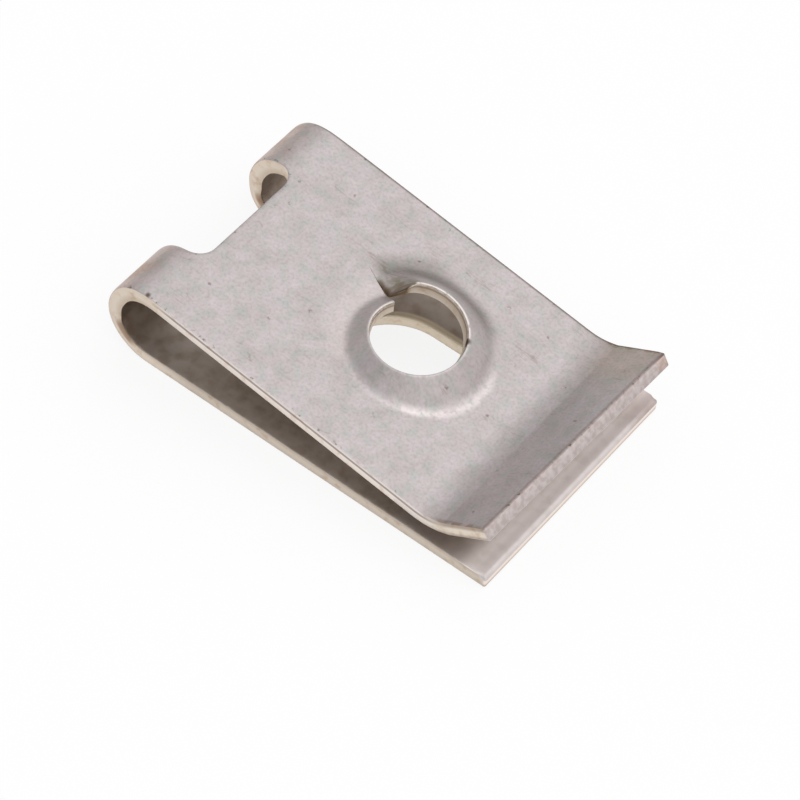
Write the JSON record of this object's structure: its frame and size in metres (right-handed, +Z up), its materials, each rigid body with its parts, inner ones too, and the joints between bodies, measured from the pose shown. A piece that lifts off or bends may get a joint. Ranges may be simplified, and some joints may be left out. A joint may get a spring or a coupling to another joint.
{
  "type": "captive nut",
  "caption": "U-shaped spring-steel captive nut that clips over a panel edge, with a split helical boss for the screw, a screw slot in the lower leg and a flared lip.",
  "frame": {"origin": "middle of the screw slot on the underside of the lower leg, where the screw enters", "axes": "+X along the strip from the fold to the open end, +Y across the strip, +Z up from the lower leg to the boss"},
  "size_m": [0.0237, 0.0142, 0.0056],
  "materials": {
    "plated_steel": "dull zinc-plated spring steel"
  },
  "bodies": {
    "root": {"captive_nut": "plated_steel"}
  },
  "joints": []
}
